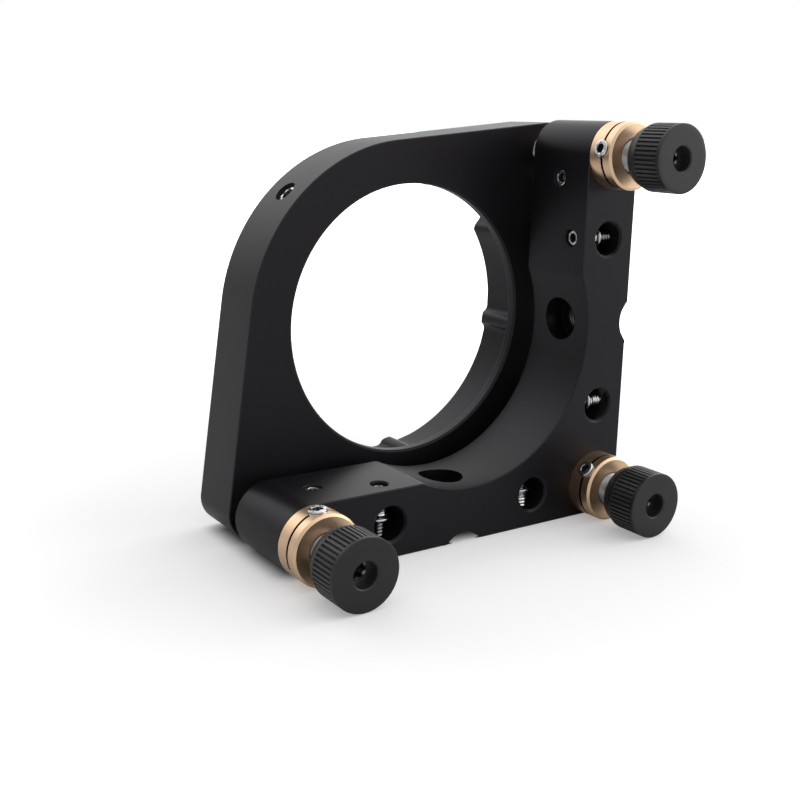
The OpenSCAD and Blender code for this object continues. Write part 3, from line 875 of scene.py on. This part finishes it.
def dog_profile(dog, head):
    """Blind end of the dog at -dog, shoulder at 0 and socket end at head."""
    rows = [(0, -dog, PLAIN), (PIN_DOG_R - 0.25, -dog, PLAIN), (PIN_DOG_R, -dog + 0.2, PLAIN)]
    # The dog's thread and the head's rim are darkened with painted shade
    rows += threaded_rows(PIN_DOG_R, -dog + 0.25, -0.05, PIN_PITCH, 0.65)
    rows += [(PIN_DOG_R, 0, PLAIN), (PIN_HEAD_R - 0.2, 0, PLAIN)]
    rows += threaded_rows(PIN_HEAD_R, 0.2, head - 0.22, PIN_PITCH)
    return rows + socket_end(PIN_HEAD_R, head, across=SMALL_SOCKET, depth=1.3, film=0.35)


def facing(start, way):
    """Moves a piece along Y from 0 to start, turned to face the given way."""
    return Matrix.Translation(start) @ Vector(way).to_track_quat("Y", "Z").to_matrix().to_4x4()


def add_screws(node, screws, pitch, depth=0.2):
    """screws holds (profile, start, way the socket faces)."""
    sizes = {"Segments": 30, "Pitch": pitch * MM, "Thread_Depth": depth * MM}
    work = bmesh.new()
    for profile, start, way in screws:
        one = turned(node + "_one", profile, facing(start, way), node, **sizes)
        work.from_mesh(one.data)
        bpy.data.objects.remove(one)
    whole = bpy.data.meshes.new(node + "_threaded")
    work.to_mesh(whole)
    work.free()
    settle(new_piece(node + "_threaded", whole), node)


def on_both_arms(screws):
    turn = SWAP.to_3x3()
    return screws + [(profile, turn @ start, turn @ way) for profile, start, way in screws]


def outward(joint):
    """The way that a screw's socket faces: against its joint's axis."""
    return -Vector(JOINTS[joint]["axis"]).normalized()


def make_lock_screws():
    lock = grub_profile(SMALL_R, length=3.15, across=SMALL_SOCKET, depth=1.3, point=0.3, pitch=SMALL_PITCH)
    for corner, (side, up) in CORNERS.items():
        joint = f"lock_{corner}_turn"
        centre = Vector((side * AXIS_OFF, JOINTS[joint]["pos_m"][1], up * AXIS_OFF))
        start = centre + outward(joint) * LOCK_INNER
        add_screws("lock_screw_" + corner, [(lock, start, outward(joint))], SMALL_PITCH)


def make_plate_screws():
    right, left = Vector((1, 0, 0)), Vector((-1, 0, 0))
    wedge = grub_profile(SMALL_R, length=3.08, across=SMALL_SOCKET, depth=1.2, point=1.2, pitch=SMALL_PITCH)
    set_screw = (wedge, Vector((SET_SCREW_POINT, BACK_MID, SET_SCREW_AT)), left)
    add_screws("bushing_set_screws", on_both_arms([set_screw]), SMALL_PITCH)
    rear, front = (sum(ends(node)) / 2 * MM for node in ("rear_spring_pins", "front_spring_pins"))
    inner, outer = AXIS_OFF - PIN_STEP, AXIS_OFF + PIN_STEP
    rear_pins = [
        (dog_profile(dog=5.4, head=4.75), Vector((inner, rear, SPRING_AT)), left),
        (dog_profile(dog=5.0, head=5.1), Vector((outer, rear, -SPRING_AT)), right),
    ]
    add_screws("rear_spring_pins", on_both_arms(rear_pins), PIN_PITCH)
    pin = dog_profile(dog=5.0, head=4.6)
    front_pins = [(pin, Vector((outer, front, side * SPRING_AT)), right) for side in (1, -1)]
    add_screws("front_spring_pins", on_both_arms(front_pins), PIN_PITCH)


def make_optic_screw():
    joint = "optic_screw_turn"
    start = outward(joint) * OPTIC_SCREW_INNER + Vector((0, JOINTS[joint]["pos_m"][1], 0))
    sizes = {"length": 5.2, "across": OPTIC_SOCKET, "depth": 2.0, "point": 0.3, "pitch": OPTIC_PITCH}
    clamp = grub_profile(OPTIC_R, hollow=(1.28, 1.6), **sizes)
    add_screws("optic_screw", [(clamp, start, outward(joint))], OPTIC_PITCH, depth=0.25)


POST_HOLE_START, POST_HOLE_LENGTH = 30.95 * MM, 3.85
POST_BORE_R, POST_PITCH = POST_HOLE["dims"]["r_mm"], 0.7
CREST_DEPTH, SLEEVE_SUNK = 0.12, 0.04


def make_post_threads():
    """Shallow thread crests left in the two post bores."""
    outside = POST_BORE_R + SLEEVE_SUNK
    sleeve = [(outside, 0, PLAIN), (POST_BORE_R - 0.02, 0.01, PLAIN)]
    for radius, along, shares in threaded_rows(POST_BORE_R - 0.15, 0.05, POST_HOLE_LENGTH, POST_PITCH):
        sleeve.append((radius, along, {"thread": shares["thread"]}))
    sleeve += [(outside, POST_HOLE_LENGTH + SLEEVE_SUNK, PLAIN), (outside, 0, PLAIN)]
    sizes = {"Segments": 48, "Pitch": POST_PITCH * MM, "Thread_Depth": -CREST_DEPTH * MM}
    ways = {
        "side": ((POST_HOLE_START, BACK_MID, 0), (1, 0, 0)),
        "base": ((0, BACK_MID, -POST_HOLE_START), (0, 0, -1)),
    }
    for name, (start, way) in ways.items():
        piece = turned("post_thread_" + name, sleeve, facing(start, way), "back_plate", **sizes)
        paint(piece, "black_anodised")
        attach(piece, "base")


# ---- springs ----

SPRING = {
    "Wire Radius": 0.35 * MM,
    "Coil Radius": 1.95 * MM,
    "Turns": 14.0,
    "Rear Hook": -15.85 * MM,
    "Front Hook": 2.05 * MM,
    "Lead": 1.0 * MM,
}
HOOK_SHARE, HOOK_BEND = 0.035, math.radians(80)


def spring_tree():
    """Wire along the Y axis: a hook, a close coil and another hook."""
    inputs = {key: (FLOAT, value) for key, value in SPRING.items()}
    inputs |= {"Points": ("NodeSocketInt", 500), "Sides": ("NodeSocketInt", 12)}
    inputs["Material"] = ("NodeSocketMaterial", None)
    tree, given = new_group("wound_spring", "GeometryNodeTree", inputs, {"Geometry": "NodeSocketGeometry"})
    line = add_node(tree, "GeometryNodeMeshLine", {"Count": given["Points"]})
    index = out(tree, add_node(tree, "GeometryNodeInputIndex"))
    share = index / (given["Points"] - 1)
    rear = (share / HOOK_SHARE).clamp()
    front = ((share - (1 - HOOK_SHARE)) / HOOK_SHARE).clamp()
    middle = ((share - HOOK_SHARE) / (1 - 2 * HOOK_SHARE)).clamp()
    on_rear = share.math("LESS_THAN", HOOK_SHARE)
    on_front = share.math("GREATER_THAN", 1 - HOOK_SHARE)
    on_coil = 1.0 - on_rear - on_front
    rear_turn = rear * (2 * HOOK_BEND) - HOOK_BEND
    front_turn = HOOK_BEND - front * (2 * HOOK_BEND)
    coil_turn = middle * given["Turns"] * math.tau + math.pi / 2
    turn = rear_turn * on_rear + front_turn * on_front + coil_turn * on_coil
    radius = given["Coil Radius"]
    coil_start, coil_end = given["Rear Hook"] + given["Lead"], given["Front Hook"] - given["Lead"]
    along = (given["Rear Hook"] - radius * turn.math("COSINE")) * on_rear
    along = along + (given["Front Hook"] + radius * turn.math("COSINE")) * on_front
    along = along + (coil_start + (coil_end - coil_start) * middle) * on_coil
    place = make_vector(tree, radius * turn.math("COSINE") * on_coil, along, radius * turn.math("SINE"))
    moved = add_node(tree, "GeometryNodeSetPosition", {"Geometry": out(tree, line), "Position": place})
    # The blur rounds the wire where a hook runs into the coil
    blurred = add_node(tree, "GeometryNodeBlurAttribute", {"Iterations": 3}, data_type="FLOAT_VECTOR")
    position = out(tree, add_node(tree, "GeometryNodeInputPosition"))
    plug(tree, position, next(s for s in blurred.inputs if s.name == "Value" and s.enabled))
    rounded = Flow(tree, next(s for s in blurred.outputs if s.enabled))
    eased = add_node(tree, "GeometryNodeSetPosition", {"Geometry": out(tree, moved), "Position": rounded})
    wire = add_node(tree, "GeometryNodeMeshToCurve", {"Mesh": out(tree, eased)})
    sizes = {"Resolution": given["Sides"], "Radius": given["Wire Radius"]}
    ring = add_node(tree, "GeometryNodeCurvePrimitiveCircle", sizes)
    curves = {"Curve": out(tree, wire), "Profile Curve": out(tree, ring), "Fill Caps": True}
    finish_shape(tree, add_node(tree, "GeometryNodeCurveToMesh", curves), given["Material"])
    return tree


SPRING_PLACES = {
    "spring_side_upper": Matrix.Translation((AXIS_OFF, 0, SPRING_AT)),
    "spring_side_lower": Matrix.Translation((AXIS_OFF, 0, -SPRING_AT)),
    "spring_base_right": SWAP @ Matrix.Translation((AXIS_OFF, 0, -SPRING_AT)),
    "spring_base_left": SWAP @ Matrix.Translation((AXIS_OFF, 0, SPRING_AT)),
}


def make_springs():
    tree = spring_tree()
    for node, place in SPRING_PLACES.items():
        piece = new_piece(node.replace("spring", "wound_spring"), bpy.data.meshes.new(node))
        modifier = piece.modifiers.new("wound", "NODES")
        modifier.node_group = tree
        give(modifier, tree, Material=FINISHES["spring_steel"])
        mesh = applied(piece)
        mesh.transform(place)
        close_seams(mesh, 0.001 * MM)
        shade_smooth(mesh)
        mesh.set_sharp_from_angle(angle=math.radians(50))
        piece.data = mesh
        settle(piece, node)


# ---- everything in its place ----

make_camera()
make_world()
make_floor()
for node, piece in frame["nodes"].items():
    paint(piece, SLOT_OF[node])
for plate in ("back_plate", "front_plate"):
    eased_plate(plate)
make_adjusters()
make_lock_screws()
make_plate_screws()
make_optic_screw()
make_post_threads()
make_springs()
scene.view_settings.view_transform = "Standard"
